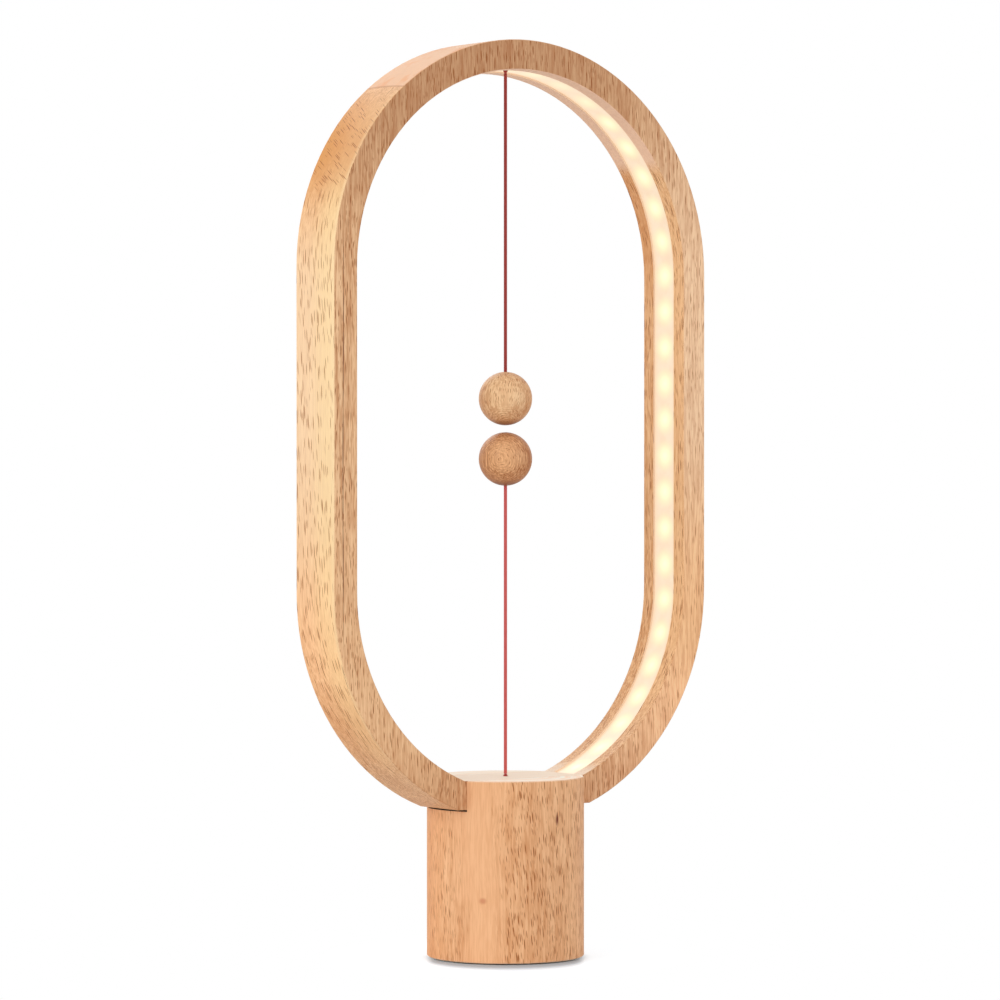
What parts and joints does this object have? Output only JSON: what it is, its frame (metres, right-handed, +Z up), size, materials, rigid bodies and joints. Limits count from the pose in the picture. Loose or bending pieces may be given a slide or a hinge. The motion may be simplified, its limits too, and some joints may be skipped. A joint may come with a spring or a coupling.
{
  "type": "magnetic balance lamp",
  "caption": "Table lamp: upright oval wooden loop, lit inside, in a turned base; small magnetic balls on cords hover in the loop, and lifting the lower one works the switch.",
  "frame": {"origin": "on the table, under the middle of the base", "axes": "+Z up; the loop stands in the XZ plane, its front faces -Y and the USB inlet faces +Y"},
  "size_m": [0.2, 0.0688, 0.4],
  "materials": {
    "beech": "oiled, fine vertical grain",
    "ball_beech": "oiled, turned",
    "diffuser": "milky",
    "tape": "flexible circuit tape",
    "led_lens": "yellow lens",
    "wire": "insulated wire",
    "brass": "machined",
    "black_plastic": "moulded",
    "grey_plastic": "moulded",
    "white_plastic": "moulded",
    "zinc_steel": "zinc plated",
    "ballast_steel": "plain sawn and faced",
    "rubber": "matt",
    "board": "lacquered laminate",
    "chip": "moulded",
    "ferrite": "sintered",
    "can": "satin",
    "magnet": "nickel plated",
    "cord_red": "woven"
  },
  "bodies": {
    "lamp_body": {"loop_frame": "beech", "diffuser_strip": "diffuser", "led_tape": "tape", "leds": "led_lens", "led_leads": "wire", "upper_cord_anchor": "brass", "base_body": "beech", "inlet_sleeve": "black_plastic", "cord_guide": "white_plastic", "loop_screws": "zinc_steel", "bottom_cover": "black_plastic", "cover_screws": "zinc_steel", "foot_pad": "rubber", "ballast_disc": "ballast_steel", "ballast_screw": "zinc_steel", "board_standoffs": "brass", "control_board": "board", "board_screws": "zinc_steel", "usb_shell": "zinc_steel", "usb_tongue": "black_plastic", "driver_chip": "chip", "inductor": "ferrite", "capacitor": "can", "wire_headers": "white_plastic", "wire_plugs": "white_plastic", "switch_case": "grey_plastic", "switch_terminals": "brass", "lever_pin": "zinc_steel", "switch_bracket": "zinc_steel", "bracket_screws": "zinc_steel", "switch_screws": "zinc_steel", "switch_nuts": "zinc_steel", "switch_leads": "wire"},
    "plunger": {"switch_plunger": "white_plastic"},
    "lever": {"switch_lever": "zinc_steel"},
    "pull_cord": {"lower_cord_inner": "cord_red", "cord_bead": "brass"},
    "lower_bend": {"lower_cord_bend": "cord_red"},
    "lower_line": {"lower_cord": "cord_red"},
    "lower_ball_set": {"lower_ball": "ball_beech", "lower_magnet": "magnet", "lower_plug": "ball_beech", "lower_knot": "cord_red"},
    "upper_bend": {"upper_cord_bend": "cord_red"},
    "upper_pendulum": {"upper_cord": "cord_red", "upper_ball": "ball_beech", "upper_magnet": "magnet", "upper_plug": "ball_beech", "upper_knot": "cord_red"}
  },
  "joints": [
    {"name": "upper_swing_front", "type": "hinge", "parent": "lamp_body", "child": "upper_bend", "pos_m": [0, 0, 0.3874], "axis": [1, 0, 0], "range_deg": [-60, 60]},
    {"name": "upper_swing_side", "type": "hinge", "parent": "upper_bend", "child": "upper_pendulum", "pos_m": [0, 0, 0.3874], "axis": [0, 1, 0], "range_deg": [-30, 30]},
    {"name": "cord_pull", "type": "slide", "parent": "lamp_body", "child": "pull_cord", "axis": [0, 0, 1], "range_m": [-0.003, 0]},
    {"name": "lower_swing_front", "type": "hinge", "parent": "pull_cord", "child": "lower_bend", "pos_m": [0, 0, 0.079], "axis": [1, 0, 0], "range_deg": [-8, 8]},
    {"name": "lower_swing_side", "type": "hinge", "parent": "lower_bend", "child": "lower_line", "pos_m": [0, 0, 0.079], "axis": [0, 1, 0], "range_deg": [-8, 8]},
    {"name": "lower_ball_drop", "type": "slide", "parent": "lower_line", "child": "lower_ball_set", "axis": [0, 0, -1], "range_m": [0, 0.1236], "deforming": ["lower_cord"]},
    {"name": "lever_tilt", "type": "hinge", "parent": "lamp_body", "child": "lever", "pos_m": [0.0185, 0, 0.0356], "axis": [0, 1, 0], "range_deg": [-9, 0]},
    {"name": "plunger_press", "type": "slide", "parent": "lamp_body", "child": "plunger", "axis": [0, 0, 1], "range_m": [-0.0008, 0]}
  ],
  "couplings": [
    {"joint": "lever_tilt", "follows": "cord_pull", "rad_per_m": 51},
    {"joint": "plunger_press", "follows": "cord_pull", "ratio": 0.25}
  ]
}
